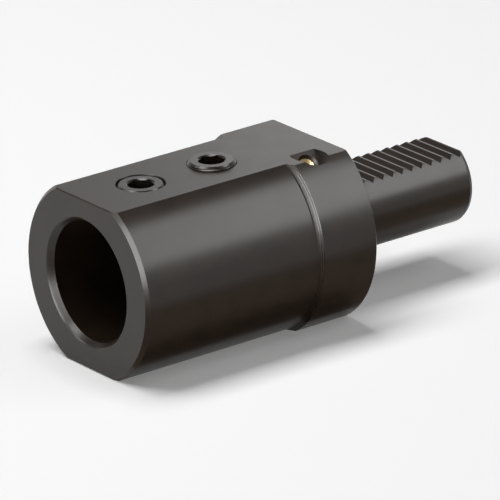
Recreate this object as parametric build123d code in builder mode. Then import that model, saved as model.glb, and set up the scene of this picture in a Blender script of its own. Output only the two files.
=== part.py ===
import math
import os

from build123d import *
from build123d.topology import SkipClean

os.makedirs("parts", exist_ok=True)

# The shank and the tool bore share the X axis. The locating face is the plane X = 0: the shank
# runs from it towards +X and the nose towards -X. The top flat with the set screws faces +Z, and
# the coolant nozzle is on the -Y side. Lengths are in millimetres and angles in degrees.

# Shank
shank_r = 15.0
shank_length = 55.0
shank_lead_length = 1.3
shank_lead_drop = 0.6
centre_hole_r = 1.6
centre_hole_depth = 7.0
centre_cone_r = 3.6
centre_cone_angle = 60.0

# Serration across the top of the shank
tooth_pitch = 4.0
tooth_count = 11
first_valley_x = 12.87
valley_z = 10.28
land_z = 11.52
land_width = 0.7

# Collar and nose
collar_r = 34.0
collar_length = 22.0
collar_front_chamfer = 1.0
collar_cove_r = 0.8
collar_cove_rise = 0.5
collar_rear_chamfer = 0.3
nose_r = 32.5
nose_length = 90.0
nose_chamfer = 1.2
top_flat_z = 28.0
lower_flat_z = -29.25
flat_front_bevel = 0.4

# Tool bore, from its mouth inwards
mouth_r = 21.6
mouth_break = 0.45
lead_in_depth = 2.05
tool_bore_r = 20.0
tool_bore_depth = 66.0
chamber_r = 10.0
chamber_back_wall = 9.0
drill_point_angle = 118.0

# Set screws, which clamp the tool through the top flat
front_screw_setback = 22.5
screw_spacing = 28.0
screw_hole_r = 8.0
screw_hole_bevel = 0.2
screw_gap = 0.08
screw_length = 7.8
screw_top_chamfer = 0.97
screw_tip_r = 6.4
screw_tip_height = 1.0
front_screw_top_z = 27.95
rear_screw_top_z = 29.18
socket_flats = 8.0
socket_depth = 4.6
socket_cone_depth = 1.2
socket_mouth_r = 5.2
socket_mouth_depth = 0.65
front_socket_turn = 48.0
rear_socket_turn = 0.0

# Nozzle pocket: a flat-bottomed counterbore that leans out over the collar's edge
pocket_x = -12.1
pocket_cross_y = -15.1
pocket_rise = 48.5
pocket_r = 5.65
pocket_depth = 2.65
pocket_overrun = 14.0

# Ball nozzle, set off from the middle of the pocket's floor towards the collar's edge
nozzle_offset = 1.75
ball_r = 3.3
ball_centre_depth = 2.86
ball_hole_r = 1.25
ball_gap = 0.05
ring_outer_r = 3.85
ring_fit_gap = 0.02
ring_mouth_r = 3.65
ring_lip_depth = 0.9
ring_cone_angle = 20.0
ball_well_r = 3.5
feed_r = 2.0

# Rubber ring round the shank's root, with a four-sided section that stands for a round one
seal_thickness = 2.5
seal_gap = 0.05
seal_groove_depth = 2.6
shank_undercut = 0.5

# Coolant inlet in the locating face
inlet_y = 11.8
inlet_z = 21.8
inlet_r = 4.0
inlet_depth = 4.0
inlet_feed_end_x = -14.0
inlet_feed_end_radius = 8.0

# Lengths that follow from the ones above
nose_front_x = -nose_length
collar_front_x = -collar_length
half_point_slope = 1.0 / math.tan(math.radians(drill_point_angle / 2))
centre_cone_slope = 1.0 / math.tan(math.radians(centre_cone_angle / 2))
front_screw_x = nose_front_x + front_screw_setback
rear_screw_x = front_screw_x + screw_spacing
screw_r = screw_hole_r - screw_gap
shank_root_r = shank_r - shank_undercut
seal_inner_r = shank_root_r + seal_gap
seal_outer_r = seal_inner_r + seal_thickness
seal_groove_r = seal_outer_r + seal_gap
seal_length = seal_groove_depth - shank_undercut - 2 * seal_gap

# The collar rises from the nose in a small cove, drawn in two straight steps, then in a chamfer
collar_chamfer_r = nose_r + collar_cove_rise
cove_angle = math.acos(1 - collar_cove_rise / collar_cove_r)
cove_start_x = collar_front_x - collar_cove_r * math.sin(cove_angle)
cove_middle_x = cove_start_x + collar_cove_r * math.sin(cove_angle / 2)
cove_middle_r = nose_r + collar_cove_r * (1 - math.cos(cove_angle / 2))

# The shank's plain root ends in the middle of the first tooth's land
flank_run = (tooth_pitch - land_width) / 2
plain_root_end_x = first_valley_x + flank_run + land_width / 2

# The way out of the pocket, and the way across its floor square to X
outward = Vector(0, -math.cos(math.radians(pocket_rise)), math.sin(math.radians(pocket_rise)))
across = Vector(0, math.sin(math.radians(pocket_rise)), math.cos(math.radians(pocket_rise)))
pocket_floor = Vector(pocket_x, pocket_cross_y, top_flat_z) - outward * pocket_depth
nozzle_floor = pocket_floor - across * nozzle_offset
ball_centre = nozzle_floor - outward * ball_centre_depth
pocket_plane = Plane(origin=pocket_floor, x_dir=(1, 0, 0), z_dir=outward)
nozzle_plane = Plane(origin=nozzle_floor, x_dir=(1, 0, 0), z_dir=outward)
# Half planes through the nozzle's axis, with the way out as their second direction
nozzle_half = Plane(origin=nozzle_floor, x_dir=(1, 0, 0), z_dir=outward.cross(Vector(1, 0, 0)) * -1)
nozzle_axis = Axis(nozzle_floor, outward)

# The ball turns between a steep cone in the ring, which reaches down to the ball's middle, and a
# right-angled cone in the body, whose point lies seat_reach below the ball's middle
ball_clear_r = ball_r + ball_gap
ring_height = ball_centre_depth
ring_lip_height = ball_centre_depth - ring_lip_depth
ring_foot_r = ball_clear_r / math.cos(math.radians(ring_cone_angle))
ring_lip_r = ring_foot_r - ring_lip_height * math.tan(math.radians(ring_cone_angle))
seat_reach = ball_clear_r * math.sqrt(2)
well_seat_depth = ball_centre_depth + seat_reach - ball_well_r
well_end_depth = ball_centre_depth + seat_reach - feed_r


# Holder body: one turned, milled and ground piece

# Half of the outside, from the nose's front to the end of the shank's plain root
turned_outline = [
    (nose_front_x, 0),
    (nose_front_x, nose_r - nose_chamfer),
    (nose_front_x + nose_chamfer, nose_r),
    (cove_start_x, nose_r),
    (cove_middle_x, cove_middle_r),
    (collar_front_x, collar_chamfer_r),
    (collar_front_x + collar_front_chamfer, collar_r),
    (-collar_rear_chamfer, collar_r),
    (0, collar_r - collar_rear_chamfer),
    (0, seal_groove_r),
    (-seal_groove_depth, seal_groove_r),
    (-seal_groove_depth, shank_root_r),
    (-shank_undercut, shank_root_r),
    (0, shank_r),
    (plain_root_end_x, shank_r),
    (plain_root_end_x, 0),
]

# The same for the toothed length, with the lead-in and the centre hole in its end
toothed_outline = [
    (plain_root_end_x, 0),
    (plain_root_end_x, shank_r),
    (shank_length - shank_lead_length, shank_r),
    (shank_length, shank_r - shank_lead_drop),
    (shank_length, centre_cone_r),
    (shank_length - (centre_cone_r - centre_hole_r) * centre_cone_slope, centre_hole_r),
    (shank_length - centre_hole_depth, centre_hole_r),
    (shank_length - centre_hole_depth - centre_hole_r * half_point_slope, 0),
]

# Half of the hollow, from the mouth to the point of the coolant chamber
bore_end_x = nose_front_x + tool_bore_depth
chamber_start_x = bore_end_x + (tool_bore_r - chamber_r) * half_point_slope
chamber_end_x = -chamber_back_wall
hollow_outline = [
    (nose_front_x, 0),
    (nose_front_x, mouth_r),
    (nose_front_x + mouth_break, mouth_r - mouth_break),
    (nose_front_x + lead_in_depth, tool_bore_r),
    (bore_end_x, tool_bore_r),
    (chamber_start_x, chamber_r),
    (chamber_end_x, chamber_r),
    (chamber_end_x + chamber_r * half_point_slope, 0),
]

# Saw-tooth outline of what the serration takes away, from the run-out beside the collar to the
# end of the shank. Both flanks of a tooth lean alike.
flank_slope = (land_z - valley_z) / flank_run
clear_z = shank_r + 1.0
serration_outline = [(first_valley_x - (clear_z - valley_z) / flank_slope, clear_z)]
for tooth in range(tooth_count):
    valley_x = first_valley_x + tooth * tooth_pitch
    serration_outline.append((valley_x, valley_z))
    serration_outline.append((valley_x + flank_run, land_z))
    serration_outline.append((valley_x + flank_run + land_width, land_z))
serration_outline.append((serration_outline[-1][0], clear_z))

inlet_radius = math.hypot(inlet_y, inlet_z)
inlet_start = Vector(-inlet_depth, inlet_y, inlet_z)
inlet_feed_end = Vector(
    inlet_feed_end_x,
    inlet_y * inlet_feed_end_radius / inlet_radius,
    inlet_z * inlet_feed_end_radius / inlet_radius,
)
inlet_feed_plane = Plane(origin=inlet_start, z_dir=inlet_feed_end - inlet_start)

with BuildPart() as holder_body:
    with BuildSketch(Plane.XZ):
        with BuildLine():
            Polyline(*turned_outline, close=True)
        make_face()
    revolve(axis=Axis.X)

    # Top and lower flat, through the nose and the collar
    with Locations((nose_front_x, 0, top_flat_z)):
        Box(
            nose_length,
            2 * collar_r,
            collar_r,
            align=(Align.MIN, Align.CENTER, Align.MIN),
            mode=Mode.SUBTRACT,
        )
    with Locations((nose_front_x, 0, lower_flat_z)):
        Box(
            nose_length,
            2 * collar_r,
            collar_r,
            align=(Align.MIN, Align.CENTER, Align.MAX),
            mode=Mode.SUBTRACT,
        )

    # Small bevel along the front edge of each flat
    with BuildSketch(Plane.XZ):
        for flat_z, inwards in ((top_flat_z, -1), (lower_flat_z, 1)):
            with BuildLine():
                Polyline(
                    (nose_front_x, flat_z + inwards * flat_front_bevel),
                    (nose_front_x + flat_front_bevel, flat_z),
                    (nose_front_x, flat_z),
                    close=True,
                )
            make_face()
    extrude(amount=collar_r, both=True, mode=Mode.SUBTRACT)

    # Tool bore with its lead-in and the coolant chamber behind it
    with BuildSketch(Plane.XZ):
        with BuildLine():
            Polyline(*hollow_outline, close=True)
        make_face()
    revolve(axis=Axis.X, mode=Mode.SUBTRACT)

    # Tapped holes of the set screws, down into the tool bore
    with BuildSketch(Plane.XY.offset(top_flat_z)):
        with Locations((front_screw_x, 0), (rear_screw_x, 0)):
            Circle(screw_hole_r)
    extrude(amount=-top_flat_z, mode=Mode.SUBTRACT)
    with Locations((front_screw_x, 0, top_flat_z), (rear_screw_x, 0, top_flat_z)):
        Cone(
            screw_hole_r,
            screw_hole_r + screw_hole_bevel,
            screw_hole_bevel,
            align=(Align.CENTER, Align.CENTER, Align.MAX),
            mode=Mode.SUBTRACT,
        )

    # Nozzle pocket, the ring's seat, the ball's well and the drilling down to the chamber
    with BuildSketch(pocket_plane):
        Circle(pocket_r)
    extrude(amount=pocket_overrun, mode=Mode.SUBTRACT)
    with BuildSketch(nozzle_plane):
        Circle(ring_outer_r)
    extrude(amount=-ring_height, mode=Mode.SUBTRACT)
    with BuildSketch(nozzle_plane):
        Circle(ball_well_r)
    extrude(amount=-well_seat_depth, mode=Mode.SUBTRACT)
    with Locations(nozzle_plane.offset(-well_seat_depth)):
        Cone(
            feed_r,
            ball_well_r,
            well_end_depth - well_seat_depth,
            align=(Align.CENTER, Align.CENTER, Align.MAX),
            mode=Mode.SUBTRACT,
        )
    with BuildSketch(nozzle_plane):
        Circle(feed_r)
    extrude(amount=-top_flat_z, mode=Mode.SUBTRACT)

    # Coolant inlet, with a slanting drilling to the chamber
    with BuildSketch(Plane.YZ):
        with Locations((inlet_y, inlet_z)):
            Circle(inlet_r)
    extrude(amount=-inlet_depth, mode=Mode.SUBTRACT)
    with BuildSketch(inlet_feed_plane):
        Circle(feed_r)
    extrude(amount=(inlet_feed_end - inlet_start).length, mode=Mode.SUBTRACT)

    # Toothed length of the shank and the serration across its top. Its wall stays a face of its
    # own, so the plain root keeps a whole wall that can be measured by itself.
    with SkipClean():
        with BuildSketch(Plane.XZ):
            with BuildLine():
                Polyline(*toothed_outline, close=True)
            make_face()
        revolve(axis=Axis.X, clean=False)
        with BuildSketch(Plane.XZ.offset(clear_z)):
            with BuildLine():
                Polyline(*serration_outline, close=True)
            make_face()
        extrude(amount=-2 * clear_z, mode=Mode.SUBTRACT, clean=False)

holder_body.part.label = "holder_body"
export_step(holder_body.part, "parts/holder_body.step")


# Front set screw: flush with the top flat

front_screw_plane = Plane((front_screw_x, 0, front_screw_top_z))

with BuildPart(front_screw_plane) as front_clamp_screw:
    Cylinder(screw_r, screw_length, align=(Align.CENTER, Align.CENTER, Align.MAX))
    rims = front_clamp_screw.edges().filter_by(GeomType.CIRCLE).sort_by(Axis.Z)
    chamfer(rims[-1], length=screw_top_chamfer)
    rims = front_clamp_screw.edges().filter_by(GeomType.CIRCLE).sort_by(Axis.Z)
    chamfer(rims[0], length=screw_tip_height, length2=screw_r - screw_tip_r)
    with BuildSketch(front_screw_plane):
        RegularPolygon(socket_flats / 2, 6, major_radius=False, rotation=front_socket_turn)
    extrude(amount=-socket_depth, mode=Mode.SUBTRACT)
    Cone(
        socket_flats / 2,
        socket_mouth_r,
        socket_mouth_depth,
        align=(Align.CENTER, Align.CENTER, Align.MAX),
        mode=Mode.SUBTRACT,
    )
    with Locations((0, 0, -socket_depth)):
        Cone(
            0,
            socket_flats / 2,
            socket_cone_depth,
            align=(Align.CENTER, Align.CENTER, Align.MAX),
            mode=Mode.SUBTRACT,
        )

front_clamp_screw.part.label = "front_clamp_screw"
export_step(front_clamp_screw.part, "parts/front_clamp_screw.step")


# Rear set screw: the same screw, standing a little proud

rear_screw_plane = Plane((rear_screw_x, 0, rear_screw_top_z))

with BuildPart(rear_screw_plane) as rear_clamp_screw:
    Cylinder(screw_r, screw_length, align=(Align.CENTER, Align.CENTER, Align.MAX))
    rims = rear_clamp_screw.edges().filter_by(GeomType.CIRCLE).sort_by(Axis.Z)
    chamfer(rims[-1], length=screw_top_chamfer)
    rims = rear_clamp_screw.edges().filter_by(GeomType.CIRCLE).sort_by(Axis.Z)
    chamfer(rims[0], length=screw_tip_height, length2=screw_r - screw_tip_r)
    with BuildSketch(rear_screw_plane):
        RegularPolygon(socket_flats / 2, 6, major_radius=False, rotation=rear_socket_turn)
    extrude(amount=-socket_depth, mode=Mode.SUBTRACT)
    Cone(
        socket_flats / 2,
        socket_mouth_r,
        socket_mouth_depth,
        align=(Align.CENTER, Align.CENTER, Align.MAX),
        mode=Mode.SUBTRACT,
    )
    with Locations((0, 0, -socket_depth)):
        Cone(
            0,
            socket_flats / 2,
            socket_cone_depth,
            align=(Align.CENTER, Align.CENTER, Align.MAX),
            mode=Mode.SUBTRACT,
        )

rear_clamp_screw.part.label = "rear_clamp_screw"
export_step(rear_clamp_screw.part, "parts/rear_clamp_screw.step")


# Nozzle ball: drilled right through along the way out

with BuildPart(Plane(origin=ball_centre, x_dir=(1, 0, 0), z_dir=outward)) as nozzle_ball:
    Sphere(ball_r)
    Cylinder(ball_hole_r, 2 * ball_r, mode=Mode.SUBTRACT)

nozzle_ball.part.label = "nozzle_ball"
export_step(nozzle_ball.part, "parts/nozzle_ball.step")


# Nozzle ring: flush with the pocket's floor, wide mouth above and steep ball seat below

with BuildPart() as nozzle_ring:
    with BuildSketch(nozzle_half):
        with BuildLine():
            Polyline(
                (ring_lip_r, -ring_lip_depth),
                (ring_mouth_r, 0),
                (ring_outer_r - ring_fit_gap, 0),
                (ring_outer_r - ring_fit_gap, -ring_height),
                (ring_foot_r, -ring_height),
                close=True,
            )
        make_face()
    revolve(axis=nozzle_axis)

nozzle_ring.part.label = "nozzle_ring"
export_step(nozzle_ring.part, "parts/nozzle_ring.step")


# Shank seal: the rubber ring round the root of the shank, just under the locating face

with BuildPart(Plane.YZ.offset(-seal_groove_depth + seal_gap)) as shank_seal:
    Cylinder(seal_outer_r, seal_length, align=(Align.CENTER, Align.CENTER, Align.MIN))
    Cylinder(
        seal_inner_r,
        seal_length,
        align=(Align.CENTER, Align.CENTER, Align.MIN),
        mode=Mode.SUBTRACT,
    )

shank_seal.part.label = "shank_seal"
export_step(shank_seal.part, "parts/shank_seal.step")
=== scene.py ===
import math

import bpy
from mathutils import Matrix, Quaternion, Vector


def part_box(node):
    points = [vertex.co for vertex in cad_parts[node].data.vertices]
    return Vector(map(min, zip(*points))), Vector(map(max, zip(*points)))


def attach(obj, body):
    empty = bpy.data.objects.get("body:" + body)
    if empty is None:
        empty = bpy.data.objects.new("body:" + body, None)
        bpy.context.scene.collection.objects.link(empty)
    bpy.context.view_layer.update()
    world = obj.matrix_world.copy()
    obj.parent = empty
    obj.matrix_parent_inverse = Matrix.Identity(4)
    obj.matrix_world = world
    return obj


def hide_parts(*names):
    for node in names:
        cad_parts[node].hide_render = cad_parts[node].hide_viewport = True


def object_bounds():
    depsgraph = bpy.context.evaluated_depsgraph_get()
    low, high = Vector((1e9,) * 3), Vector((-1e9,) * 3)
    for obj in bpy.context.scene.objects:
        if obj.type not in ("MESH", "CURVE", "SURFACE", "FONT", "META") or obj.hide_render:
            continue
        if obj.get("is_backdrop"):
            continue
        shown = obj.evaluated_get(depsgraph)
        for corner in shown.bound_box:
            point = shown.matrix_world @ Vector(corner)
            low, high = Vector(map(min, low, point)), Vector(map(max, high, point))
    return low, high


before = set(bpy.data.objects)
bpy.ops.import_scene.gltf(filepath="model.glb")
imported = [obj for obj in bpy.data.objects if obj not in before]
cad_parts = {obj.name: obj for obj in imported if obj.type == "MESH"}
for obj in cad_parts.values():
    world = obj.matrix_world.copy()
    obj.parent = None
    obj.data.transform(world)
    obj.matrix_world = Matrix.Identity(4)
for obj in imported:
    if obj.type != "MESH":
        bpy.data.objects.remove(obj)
print("frame loaded:", sorted(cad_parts))
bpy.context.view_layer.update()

mm = 0.001
overshoot = 1.0  # mm that a cutting tool stands out past what it cuts


def deselectAll():
    if bpy.context.mode != "OBJECT":
        bpy.ops.object.mode_set(mode="OBJECT")
    bpy.ops.object.select_all(action="DESELECT")


def makeActive(obj):
    deselectAll()
    obj.select_set(True)
    bpy.context.view_layer.objects.active = obj


def settle(obj):
    # leaves the object at the origin, with its place and turn in its mesh
    makeActive(obj)
    bpy.ops.object.transform_apply(location=True, rotation=True, scale=True)


def applyModifier(obj, kind, **settings):
    makeActive(obj)
    modifier = obj.modifiers.new(kind.lower(), kind)
    for name, value in settings.items():
        setattr(modifier, name, value)
    bpy.ops.object.modifier_apply(modifier=modifier.name)


def takeAway(obj, tool):
    # cuts the tool's shape out of the object and deletes the tool
    applyModifier(obj, "BOOLEAN", operation="DIFFERENCE", solver="EXACT", object=tool)
    bpy.data.objects.remove(tool, do_unlink=True)


def coneTool(centre, lowRadius, highRadius, lowZ, highZ, sides=72):
    # an upright cone or straight cylinder, between two heights over the centre in mm
    deselectAll()
    bpy.ops.mesh.primitive_cone_add(
        vertices=sides,
        radius1=lowRadius * mm,
        radius2=highRadius * mm,
        depth=(highZ - lowZ) * mm,
        location=(centre[0], centre[1], centre[2] + (lowZ + highZ) / 2 * mm),
    )
    cone = bpy.context.object
    settle(cone)
    return cone


def smoothBelow(obj, angle):
    # shades smooth every edge that is less sharp than the angle in degrees
    makeActive(obj)
    bpy.ops.object.shade_smooth_by_angle(angle=math.radians(angle))


def linearColour(hexCode):
    # sRGB hex to the linear values that shaders take
    channels = [int(hexCode[i : i + 2], 16) / 255 for i in (1, 3, 5)]
    linear = [c / 12.92 if c <= 0.04045 else ((c + 0.055) / 1.055) ** 2.4 for c in channels]
    return (*linear, 1.0)


def addNode(tree, kind, links=None, **settings):
    # one node with its settings; links maps an input's name or number to another node's output,
    # or to a plain value
    node = tree.nodes.new(kind)
    for name, value in settings.items():
        if hasattr(node, name):
            setattr(node, name, value)
        else:
            node.inputs[name.replace("_", " ")].default_value = value
    for name, source in (links or {}).items():
        if isinstance(source, bpy.types.NodeSocket):
            tree.links.new(source, node.inputs[name])
        else:
            node.inputs[name].default_value = source
    return node


def newMaterial(name):
    material = bpy.data.materials.new(name)
    material.use_nodes = True
    material.node_tree.nodes.clear()
    return material, material.node_tree


def finishMaterial(material, shader):
    addNode(material.node_tree, "ShaderNodeOutputMaterial", {"Surface": shader.outputs[0]})
    return material


def wear(obj, material):
    obj.data.materials.clear()
    obj.data.materials.append(material)


# the camera stands as the photograph's did
cameraView = {
    "place": (-1.16469, -1.52857, 0.72455),
    "turn": (1.849, -0.644, 0.405),  # rotation vector from the part's axes to right, down, forward
    "focal": 458.06,
    "sensor": 36.0,
    "farthest": 20.0,  # metres
}


def placeCamera():
    turn = Vector(cameraView["turn"])
    right, down, forward = Matrix.Rotation(turn.length, 3, turn.normalized())
    bpy.ops.object.camera_add(location=cameraView["place"])
    camera = bpy.context.object
    camera.name = "photoCamera"
    camera.rotation_euler = Matrix((right, -down, -forward)).transposed().to_euler()
    camera.data.lens = cameraView["focal"]
    camera.data.sensor_width = cameraView["sensor"]
    camera.data.clip_end = cameraView["farthest"]
    bpy.context.scene.camera = camera


deselectAll()
placeCamera()
print("camera placed")


# white paper floor, a card that paints shade into the metal's reflections, a room that is bright
# at eye level and dim overhead, and softboxes
studio = {
    "floorSize": 6.0,
    "floorDrop": 0.02,  # mm that the floor lies below the part
    "floorColour": "#f7f7f7",
    "paperGlow": 0.16,  # what the eye and the reflections see of the floor beyond its own light
    # the room's brightness at steps of height, from straight down at 0 to straight up at 1
    "roomTones": (
        (0.0, 1.0),
        (0.52, 1.0),
        (0.60, 0.95),
        (0.66, 0.72),
        (0.72, 0.48),
        (0.8, 0.22),
        (1.0, 0.2),
    ),
    "roomLight": 0.2,  # share of it that lights matt surfaces
    # each softbox: place, point aimed at, width and height in metres, its turn in degrees, power
    # in watts, and what it does: "light" does all, "mirror" is only seen in the metal, as a
    # reflector card is, and "fill" only lights what is matt
    "boxes": {
        "topBox": ((-0.50, 0.30, 1.60), (-0.50, 0.30, 0), 1.6, 0.7, 0, 25.0, "light"),
        "fillBox": ((0.90, -0.90, 1.40), (0.45, -0.40, 0), 1.2, 1.2, 0, 4.5, "fill"),
        "nearBox": ((0.509, -0.498, 0.52), (-0.03, 0, 0), 0.34, 0.68, -34, 4.3, "mirror"),
        "leftBox": ((-0.784, -0.369, 0.369), (-0.05, 0, 0), 0.28, 0.86, 33, 9.3, "mirror"),
        "farBox": ((-0.70, 0.48, 0.52), (0, 0, 0), 0.34, 0.50, 0, 2.4, "mirror"),
        "backBox": ((0.64, 0.60, 0.31), (0, 0, 0.03), 0.40, 0.26, 0, 0.35, "mirror"),
        "eyeBox": ((-1.36, -1.79, 0.85), (-0.012, -0.013, 0.023), 1.8, 1.8, 0, 9.5, "mirror"),
    },
    # painted shade: a brown card just over the floor before the part, seen only in the metal,
    # where it stands in for the part's shadow in the reflection: its left front and right back
    # corners, and its height over the part's underside, in mm
    "paintedShadeCard": ((-220, -100), (150, -22), 1.0),
    "paintedShadeColour": "#b5a293",
}


def seenDirectly(tree):
    # 1 for what the camera sees, and for what metal and glass show of the surroundings
    path = addNode(tree, "ShaderNodeLightPath")
    mirrored = addNode(
        tree,
        "ShaderNodeMath",
        {0: path.outputs["Is Glossy Ray"], 1: path.outputs["Is Transmission Ray"]},
        operation="MAXIMUM",
    )
    return addNode(
        tree,
        "ShaderNodeMath",
        {0: path.outputs["Is Camera Ray"], 1: mirrored.outputs[0]},
        operation="MAXIMUM",
    )


def makeFloor():
    deselectAll()
    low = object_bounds()[0]
    bpy.ops.mesh.primitive_plane_add(
        size=studio["floorSize"], location=(0, 0, low[2] - studio["floorDrop"] * mm)
    )
    floor = bpy.context.object
    floor.name = "studioFloor"
    # matt white paper, with a little glow so that the background comes out pale
    paper, tree = newMaterial("whitePaperSweep")
    lit = addNode(tree, "ShaderNodeBsdfDiffuse", Color=linearColour(studio["floorColour"]))
    lift = addNode(
        tree,
        "ShaderNodeMath",
        {0: seenDirectly(tree).outputs[0], 1: studio["paperGlow"]},
        operation="MULTIPLY",
    )
    glow = addNode(tree, "ShaderNodeEmission", {"Strength": lift.outputs[0]})
    both = addNode(tree, "ShaderNodeAddShader", {0: lit.outputs[0], 1: glow.outputs[0]})
    wear(floor, finishMaterial(paper, both))
    floor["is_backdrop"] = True


def makePaintedShadeCard():
    (left, front), (right, back), lift = studio["paintedShadeCard"]
    deselectAll()
    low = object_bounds()[0]
    bpy.ops.mesh.primitive_plane_add(
        size=1, location=((left + right) / 2 * mm, (front + back) / 2 * mm, low[2] + lift * mm)
    )
    card = bpy.context.object
    card.name = "paintedShadeCard"
    card.scale = ((right - left) * mm, (back - front) * mm, 1)
    settle(card)
    # hidden from the eye, from matt light and from shadows, so that it only paints shade into the
    # metal's reflections
    card.visible_camera = False
    card.visible_diffuse = False
    card.visible_shadow = False
    # matt brown card, only a painted reflection of shade in the metal
    board, tree = newMaterial("paintedShadeCardMatt")
    matt = addNode(tree, "ShaderNodeBsdfDiffuse", Color=linearColour(studio["paintedShadeColour"]))
    wear(card, finishMaterial(board, matt))
    card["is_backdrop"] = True


def makeRoom():
    world = bpy.data.worlds.new("studioRoom")
    bpy.context.scene.world = world
    world.use_nodes = True
    tree = world.node_tree
    tree.nodes.clear()
    way = addNode(tree, "ShaderNodeTexCoord")
    height = addNode(tree, "ShaderNodeSeparateXYZ", {0: way.outputs["Generated"]})
    share = addNode(
        tree,
        "ShaderNodeMapRange",
        {"Value": height.outputs["Z"]},
        From_Min=-1.0,
        From_Max=1.0,
    )
    tones = addNode(tree, "ShaderNodeValToRGB", {"Fac": share.outputs[0]})
    ramp = tones.color_ramp
    steps = studio["roomTones"]
    while len(ramp.elements) < len(steps):
        ramp.elements.new(0.5)
    for element, (position, tone) in zip(ramp.elements, steps):
        element.position = position
        element.color = (tone, tone, tone, 1)
    strength = addNode(
        tree,
        "ShaderNodeMapRange",
        {"Value": seenDirectly(tree).outputs[0]},
        To_Min=studio["roomLight"],
        To_Max=1.0,
    )
    glow = addNode(
        tree,
        "ShaderNodeBackground",
        {"Color": tones.outputs["Color"], "Strength": strength.outputs[0]},
    )
    addNode(tree, "ShaderNodeOutputWorld", {"Surface": glow.outputs[0]})


def addSoftbox(name):
    place, target, width, height, turn, power, use = studio["boxes"][name]
    deselectAll()
    bpy.ops.object.light_add(type="AREA", location=place)
    box = bpy.context.object
    box.name = name
    box.data.shape = "RECTANGLE"
    box.data.size = width
    box.data.size_y = height
    box.data.energy = power
    box.visible_diffuse = use != "mirror"
    box.visible_glossy = use != "fill"
    aim = Vector(target) - Vector(place)
    stance = aim.to_track_quat("-Z", "Y") @ Quaternion((0, 0, 1), math.radians(turn))
    box.rotation_euler = stance.to_euler()


makeFloor()
makePaintedShadeCard()
makeRoom()
for boxName in studio["boxes"]:
    addSoftbox(boxName)
bpy.context.scene.view_settings.view_transform = "Standard"
print("studio lit")


# the body's finish, with lengths in mm
steelLook = {
    "colour": "#231910",
    "tintSwing": 0.2,  # how much darker and lighter than that the skin gets
    "cloudSize": 7.143,  # size of the skin's clouds
    "cloudEdges": (0.3, 0.7),  # where in the clouds the darkest and the lightest tint are reached
    "refraction": 1.45,
    "roughness": 0.30,
    "markSheen": 0.06,  # how far the roughness swings over the tool marks
    "cloudSheen": 0.08,  # and over the clouds
    "turningStep": 0.5,  # between turning marks; the real 0.15 mm is too fine to show
    "endFacing": 0.6,  # share of X in its normal past which a face counts as an end face
    "millingStep": 0.9,  # between the face mill's marks, drawn as coarse as they need to show
    "millRadius": 31.5,  # a face mill a little narrower than the nose
    "flatFacing": 0.999,  # share of Z in its normal past which a face counts as milled flat
    "markDepth": 0.0012,
    "chamferStep": 0.5,  # between the rings that the tool left on the collar's chamfer
    "chamferDepth": 0.008,
    "chamferSheen": 0.1,  # how far the roughness swings with them
    "chamferRadius": 32.9,  # only the collar reaches further out
    "chamferFacing": (0.7, 0.15),  # share of X in the chamfer's normal, and its leeway
    # the nozzle's pocket was milled last and left dull: its middle, its reach and where it ends
    # below the top flat and inside the collar
    "pocketMiddle": (-12.1, -14.4, 24.6),
    "pocketReach": 7.6,
    "pocketTop": 27.9,
    "pocketRadius": 33.6,
    "pocketDullness": 0.3,
}


def toolMarks(tree, at, facing, radius, endFace):
    # turning marks: rings along the axis on the round walls, rings about the axis on the end faces
    look = steelLook
    isEnd = addNode(
        tree,
        "ShaderNodeMath",
        {0: endFace.outputs[0], 1: look["endFacing"]},
        operation="GREATER_THAN",
    )
    along = addNode(
        tree,
        "ShaderNodeMix",
        {"Factor": isEnd.outputs[0], "A": at.outputs["X"], "B": radius.outputs["Value"]},
    )
    turned = addNode(
        tree,
        "ShaderNodeTexNoise",
        {"W": along.outputs[0]},
        noise_dimensions="1D",
        Scale=1 / (look["turningStep"] * mm),
        Detail=2.0,
    )
    # milling marks: arcs of the face mill's radius, one step apart along the flat
    squareY = addNode(
        tree,
        "ShaderNodeMath",
        {0: at.outputs["Y"], 1: at.outputs["Y"]},
        operation="MULTIPLY",
    )
    squareX = addNode(
        tree,
        "ShaderNodeMath",
        {0: (look["millRadius"] * mm) ** 2, 1: squareY.outputs[0]},
        operation="SUBTRACT",
    )
    reach = addNode(tree, "ShaderNodeMath", {0: squareX.outputs[0]}, operation="SQRT")
    arc = addNode(
        tree,
        "ShaderNodeMath",
        {0: at.outputs["X"], 1: reach.outputs[0]},
        operation="SUBTRACT",
    )
    milled = addNode(
        tree,
        "ShaderNodeTexNoise",
        {"W": arc.outputs[0]},
        noise_dimensions="1D",
        Scale=1 / (look["millingStep"] * mm),
        Detail=2.0,
    )
    upright = addNode(tree, "ShaderNodeMath", {0: facing.outputs["Z"]}, operation="ABSOLUTE")
    isFlat = addNode(
        tree,
        "ShaderNodeMath",
        {0: upright.outputs[0], 1: look["flatFacing"]},
        operation="GREATER_THAN",
    )
    return addNode(
        tree,
        "ShaderNodeMix",
        {"Factor": isFlat.outputs[0], "A": turned.outputs["Fac"], "B": milled.outputs["Fac"]},
    )


def chamferRings(tree, at, radius, endFace):
    # coarser rings on the collar's chamfer, where the tool was fed by hand
    look = steelLook
    slope, leeway = look["chamferFacing"]
    isOut = addNode(
        tree,
        "ShaderNodeMath",
        {0: radius.outputs["Value"], 1: look["chamferRadius"] * mm},
        operation="GREATER_THAN",
    )
    isSlope = addNode(
        tree,
        "ShaderNodeMath",
        {0: endFace.outputs[0], 1: slope, 2: leeway},
        operation="COMPARE",
    )
    isChamfer = addNode(
        tree,
        "ShaderNodeMath",
        {0: isOut.outputs[0], 1: isSlope.outputs[0]},
        operation="MULTIPLY",
    )
    turns = addNode(
        tree,
        "ShaderNodeMath",
        {0: at.outputs["X"], 1: 2 * math.pi / (look["chamferStep"] * mm)},
        operation="MULTIPLY",
    )
    rings = addNode(tree, "ShaderNodeMath", {0: turns.outputs[0]}, operation="SINE")
    return addNode(
        tree,
        "ShaderNodeMath",
        {0: rings.outputs[0], 1: isChamfer.outputs[0]},
        operation="MULTIPLY",
    )


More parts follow.
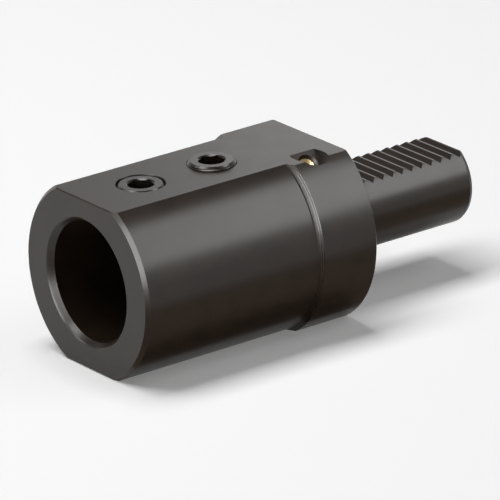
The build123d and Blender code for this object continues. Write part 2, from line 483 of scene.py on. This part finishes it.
def insidePocket(tree, place, at, radius):
    # 1 on the walls and the floor of the nozzle's pocket
    look = steelLook
    away = addNode(
        tree,
        "ShaderNodeVectorMath",
        {0: place.outputs["Object"], 1: tuple(c * mm for c in look["pocketMiddle"])},
        operation="DISTANCE",
    )
    isNear = addNode(
        tree,
        "ShaderNodeMath",
        {0: away.outputs["Value"], 1: look["pocketReach"] * mm},
        operation="LESS_THAN",
    )
    isBelow = addNode(
        tree,
        "ShaderNodeMath",
        {0: at.outputs["Z"], 1: look["pocketTop"] * mm},
        operation="LESS_THAN",
    )
    isInside = addNode(
        tree,
        "ShaderNodeMath",
        {0: radius.outputs["Value"], 1: look["pocketRadius"] * mm},
        operation="LESS_THAN",
    )
    isSunk = addNode(
        tree,
        "ShaderNodeMath",
        {0: isBelow.outputs[0], 1: isInside.outputs[0]},
        operation="MULTIPLY",
    )
    return addNode(
        tree,
        "ShaderNodeMath",
        {0: isNear.outputs[0], 1: isSunk.outputs[0]},
        operation="MULTIPLY",
    )


def blackOxideSteel():
    # oiled black oxide on turned and milled alloy steel: a thin brown-black skin that hides the
    # bare metal and shines like a dark glaze. Fine tool marks run round the turned faces and in
    # arcs over the milled flats, and the shine is a little cloudy.
    look = steelLook
    steel, tree = newMaterial("oiledBlackOxideSteel")
    place = addNode(tree, "ShaderNodeTexCoord")
    cloud = addNode(
        tree,
        "ShaderNodeTexNoise",
        {"Vector": place.outputs["Object"]},
        Scale=1 / (look["cloudSize"] * mm),
        Detail=5.0,
    )
    tint = addNode(tree, "ShaderNodeValToRGB", {"Fac": cloud.outputs["Fac"]})
    base = linearColour(look["colour"])
    tones = (1 - look["tintSwing"], 1 + look["tintSwing"])
    for element, edge, tone in zip(tint.color_ramp.elements, look["cloudEdges"], tones):
        element.position = edge
        element.color = tuple(tone * c for c in base[:3]) + (1,)
    at = addNode(tree, "ShaderNodeSeparateXYZ", {0: place.outputs["Object"]})
    radial = addNode(tree, "ShaderNodeCombineXYZ", {"Y": at.outputs["Y"], "Z": at.outputs["Z"]})
    radius = addNode(tree, "ShaderNodeVectorMath", {0: radial.outputs[0]}, operation="LENGTH")
    facing = addNode(tree, "ShaderNodeSeparateXYZ", {0: place.outputs["Normal"]})
    endFace = addNode(tree, "ShaderNodeMath", {0: facing.outputs["X"]}, operation="ABSOLUTE")
    marks = toolMarks(tree, at, facing, radius, endFace)
    rings = chamferRings(tree, at, radius, endFace)
    isPocket = insidePocket(tree, place, at, radius)
    deepRings = addNode(
        tree,
        "ShaderNodeMath",
        {0: rings.outputs[0], 1: look["chamferDepth"]},
        operation="MULTIPLY",
    )
    height = addNode(
        tree,
        "ShaderNodeMath",
        {0: marks.outputs[0], 1: look["markDepth"], 2: deepRings.outputs[0]},
        operation="MULTIPLY_ADD",
    )
    relief = addNode(tree, "ShaderNodeBump", {"Height": height.outputs[0]}, Distance=mm)
    # the roughness varies with the tool marks, the clouds and the rings, and is highest in the
    # pocket; marks and clouds lie about a half, so half of their swing comes off first
    roughness = look["roughness"] - (look["markSheen"] + look["cloudSheen"]) / 2
    swings = (
        (marks.outputs[0], look["markSheen"]),
        (cloud.outputs["Fac"], look["cloudSheen"]),
        (rings.outputs[0], look["chamferSheen"]),
        (isPocket.outputs[0], look["pocketDullness"]),
    )
    for pattern, swing in swings:
        sheen = addNode(
            tree,
            "ShaderNodeMath",
            {0: pattern, 1: swing, 2: roughness},
            operation="MULTIPLY_ADD",
        )
        roughness = sheen.outputs[0]
    shader = addNode(
        tree,
        "ShaderNodeBsdfPrincipled",
        {
            "Base Color": tint.outputs["Color"],
            "Roughness": roughness,
            "Normal": relief.outputs["Normal"],
        },
        Metallic=0.0,
        IOR=look["refraction"],
    )
    return finishMaterial(steel, shader)


# the other finishes: dark and light tint, size of their specks in mm, roughness, metallic
finishes = {
    # the same oiled black oxide on rolled-thread alloy steel, a little glossier than the body
    "oiledBlackOxideScrewSteel": ("#1d140d", "#281c12", 0.8, 0.26, 0.0),
    # free-cutting brass, turned bright: pale warm yellow with a soft highlight
    "turnedBrass": ("#e6cc8c", "#f2deaa", 1.0, 0.42, 1.0),
    # plain turned steel, hardened and left with its dark brown heat tint
    "heatTintedTurnedSteel": ("#2b1a0b", "#3b2612", 1.0, 0.36, 0.0),
    # moulded nitrile rubber: near black and matt
    "nitrileRubber": ("#121212", "#1c1b1a", 0.7, 0.60, 0.0),
}


def speckledMaterial(name):
    # one finish with a fine uneven tint
    darkTint, lightTint, grain, roughness, metallic = finishes[name]
    material, tree = newMaterial(name)
    place = addNode(tree, "ShaderNodeTexCoord")
    specks = addNode(
        tree,
        "ShaderNodeTexNoise",
        {"Vector": place.outputs["Object"]},
        Scale=1 / (grain * mm),
        Detail=3.0,
    )
    tint = addNode(tree, "ShaderNodeValToRGB", {"Fac": specks.outputs["Fac"]})
    tint.color_ramp.elements[0].color = linearColour(darkTint)
    tint.color_ramp.elements[1].color = linearColour(lightTint)
    shader = addNode(
        tree,
        "ShaderNodeBsdfPrincipled",
        {"Base Color": tint.outputs["Color"]},
        Metallic=metallic,
        Roughness=roughness,
    )
    return finishMaterial(material, shader)


bodySteel = blackOxideSteel()
screwSteel = speckledMaterial("oiledBlackOxideScrewSteel")
ballBrass = speckledMaterial("turnedBrass")
ringSteel = speckledMaterial("heatTintedTurnedSteel")
sealRubber = speckledMaterial("nitrileRubber")
print("finishes ready")


# socket set screw in mm, with a fine thread cut by a helical tool, and a hexagon socket
setScrew = {
    "crestRadius": 7.92,
    "threadDepth": 0.55,
    "pitch": 1.0,
    "grooveWidth": 0.92,  # width that the thread's groove reaches outside the crest
    "clearance": 0.12,  # how far outside the crest the helical tool goes
    "spareTurns": 3,  # turns that the helical tool has beyond the screw's length
    "length": 7.8,
    "topChamfer": 0.97,
    "tipRadius": 6.4,
    "tipHeight": 1.0,
    "acrossFlats": 8.0,
    "socketDepth": 4.6,
    "socketCone": 1.2,
    "mouthRadius": 4.75,
    "mouthDepth": 0.45,
    "sides": 96,
    "stepsPerTurn": 64,
    "smoothAngle": 20.0,
    # each screw's node, the body it rides on, and its socket's turn in degrees
    "screws": (
        ("front_clamp_screw", "front_screw", 48.0),
        ("rear_clamp_screw", "rear_screw", 0.0),
    ),
}


def screwBlank(name, top):
    # a turned blank, chamfered at its top and more so at its tip
    deselectAll()
    s = setScrew
    bpy.ops.mesh.primitive_cylinder_add(
        vertices=s["sides"],
        radius=s["crestRadius"] * mm,
        depth=s["length"] * mm,
        location=(top[0], top[1], top[2] - s["length"] * mm / 2),
    )
    blank = bpy.context.object
    blank.name = name
    settle(blank)
    shrinkEnd(blank, top[2], s["topChamfer"], s["crestRadius"] - s["topChamfer"], top)
    shrinkEnd(blank, top[2] - s["length"] * mm, -s["tipHeight"], s["tipRadius"], top)
    return blank


def shrinkEnd(obj, z, height, radius, centre):
    # bevels an end: the end face goes in by the height, is extruded back and scaled to the radius
    near = 0.01 * mm
    for polygon in obj.data.polygons:
        polygon.select = abs(polygon.center.z - z) < near and abs(polygon.normal.z) > 0.9
    for edge in obj.data.edges:
        edge.select = False
    for vertex in obj.data.vertices:
        vertex.select = abs(vertex.co.z - z) < near
    bpy.ops.object.mode_set(mode="EDIT")
    bpy.ops.mesh.select_mode(type="VERT")
    bpy.ops.mesh.select_mode(type="FACE")
    bpy.ops.transform.translate(value=(0, 0, -height * mm))
    bpy.ops.mesh.extrude_region_move(TRANSFORM_OT_translate={"value": (0, 0, height * mm)})
    scale = radius / setScrew["crestRadius"]
    bpy.ops.transform.resize(
        value=(scale, scale, 1), center_override=(centre[0], centre[1], z)
    )
    bpy.ops.object.mode_set(mode="OBJECT")


def threadTool(top):
    # a triangle swept along a helix, to be cut out of the blank
    deselectAll()
    s = setScrew
    bpy.ops.mesh.primitive_circle_add(
        vertices=3, radius=s["pitch"] / 2 * mm, fill_type="NOTHING"
    )
    tool = bpy.context.object
    # the three corners: one at the thread's root, two outside the crest
    root = s["crestRadius"] - s["threadDepth"]
    outside = s["crestRadius"] + s["clearance"]
    half = s["grooveWidth"] / 2
    corners = ((root, 0), (outside, half), (outside, -half))
    for vertex, (r, h) in zip(tool.data.vertices, corners):
        vertex.co = (r * mm, 0, h * mm)
    applyModifier(
        tool,
        "SCREW",
        axis="Z",
        angle=2 * math.pi,
        screw_offset=s["pitch"] * mm,
        iterations=math.ceil(s["length"] / s["pitch"]) + s["spareTurns"],
        steps=s["stepsPerTurn"],
        render_steps=s["stepsPerTurn"],
    )
    # close both ends of the swept tool
    bpy.ops.object.mode_set(mode="EDIT")
    bpy.ops.mesh.select_mode(type="EDGE")
    bpy.ops.mesh.select_all(action="DESELECT")
    bpy.ops.mesh.select_non_manifold()
    bpy.ops.mesh.fill()
    bpy.ops.mesh.select_all(action="SELECT")
    bpy.ops.mesh.normals_make_consistent(inside=False)
    bpy.ops.object.mode_set(mode="OBJECT")
    below = s["length"] + s["spareTurns"] / 2 * s["pitch"]
    tool.location = (top[0], top[1], top[2] - below * mm)
    settle(tool)
    return tool


def socketTool(top, turn):
    # a hexagon bar as wide as the key
    deselectAll()
    s = setScrew
    corner = s["acrossFlats"] / 2 / math.cos(math.radians(30))
    bpy.ops.mesh.primitive_cylinder_add(
        vertices=6,
        radius=corner * mm,
        depth=(s["socketDepth"] + overshoot) * mm,
        location=(top[0], top[1], top[2] + (overshoot - s["socketDepth"]) / 2 * mm),
        rotation=(0, 0, math.radians(turn)),
    )
    bar = bpy.context.object
    settle(bar)
    return bar


def makeSetScrew(node, body, turn):
    low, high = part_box(node)
    top = Vector(((low[0] + high[0]) / 2, (low[1] + high[1]) / 2, high[2]))
    s = setScrew
    screw = screwBlank(node + "Threaded", top)
    takeAway(screw, threadTool(top))
    takeAway(screw, socketTool(top, turn))
    # the socket's flared mouth, and the drill point at its bottom
    halfKey = s["acrossFlats"] / 2
    flare = (s["mouthRadius"] - halfKey) / s["mouthDepth"]
    wide = s["mouthRadius"] + flare * overshoot
    takeAway(screw, coneTool(top, halfKey, wide, -s["mouthDepth"], overshoot))
    point = -s["socketDepth"] - s["socketCone"]
    takeAway(screw, coneTool(top, 0.0, halfKey, point, -s["socketDepth"]))
    smoothBelow(screw, s["smoothAngle"])
    wear(screw, screwSteel)
    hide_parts(node)
    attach(screw, body)
    print(screw.name, "triangles", sum(len(p.vertices) - 2 for p in screw.data.polygons))


for node, body, turn in setScrew["screws"]:
    makeSetScrew(node, body, turn)
print("set screws threaded")


# round rubber ring in mm, in place of the solid one, whose section is a rectangle
shankSealRing = {
    "middleRadius": 15.8,
    "cordRadius": 1.25,
    "x": -1.3,
    "sides": 96,
    "cordSides": 24,
}


def makeShankSeal():
    deselectAll()
    r = shankSealRing
    bpy.ops.mesh.primitive_torus_add(
        major_radius=r["middleRadius"] * mm,
        minor_radius=r["cordRadius"] * mm,
        major_segments=r["sides"],
        minor_segments=r["cordSides"],
        rotation=(0, math.pi / 2, 0),
        location=(r["x"] * mm, 0, 0),
    )
    ring = bpy.context.object
    ring.name = "shankSealRing"
    settle(ring)
    bpy.ops.object.shade_smooth()
    wear(ring, sealRubber)
    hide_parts("shank_seal")
    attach(ring, "holder")


makeShankSeal()
print("shank seal rounded")


# brass nozzle ball in mm, with a wide conical mouth that leads down to its coolant hole
nozzleBall = {
    "radius": 3.3,
    "holeRadius": 1.25,
    "mouthRadius": 2.75,
    "mouthAngle": 90.0,
    "rise": 48.5,  # degrees that the jet points up from the near side
    "sides": 72,
    "smoothAngle": 30.0,
}


def makeNozzleBall():
    deselectAll()
    b = nozzleBall
    low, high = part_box("nozzle_ball")
    bpy.ops.mesh.primitive_uv_sphere_add(
        segments=b["sides"], ring_count=b["sides"] // 2, radius=b["radius"] * mm
    )
    ball = bpy.context.object
    ball.name = "drilledNozzleBall"
    reach = b["radius"] + overshoot
    takeAway(ball, coneTool((0, 0, 0), b["holeRadius"], b["holeRadius"], -reach, reach))
    rim = math.sqrt(b["radius"] ** 2 - b["mouthRadius"] ** 2)
    slope = math.tan(math.radians(b["mouthAngle"] / 2))
    floor = rim - (b["mouthRadius"] - b["holeRadius"]) / slope
    wide = b["mouthRadius"] + (reach - rim) * slope
    takeAway(ball, coneTool((0, 0, 0), b["holeRadius"], wide, floor, reach))
    smoothBelow(ball, b["smoothAngle"])
    # its way out leans from straight up to the near side
    ball.rotation_euler = (math.radians(90 - b["rise"]), 0, 0)
    ball.location = [(a + c) / 2 for a, c in zip(low, high)]
    settle(ball)
    wear(ball, ballBrass)
    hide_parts("nozzle_ball")
    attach(ball, "ball")


makeNozzleBall()
print("nozzle ball bored")

wear(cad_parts["holder_body"], bodySteel)
wear(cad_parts["nozzle_ring"], ringSteel)
print("finishes on")
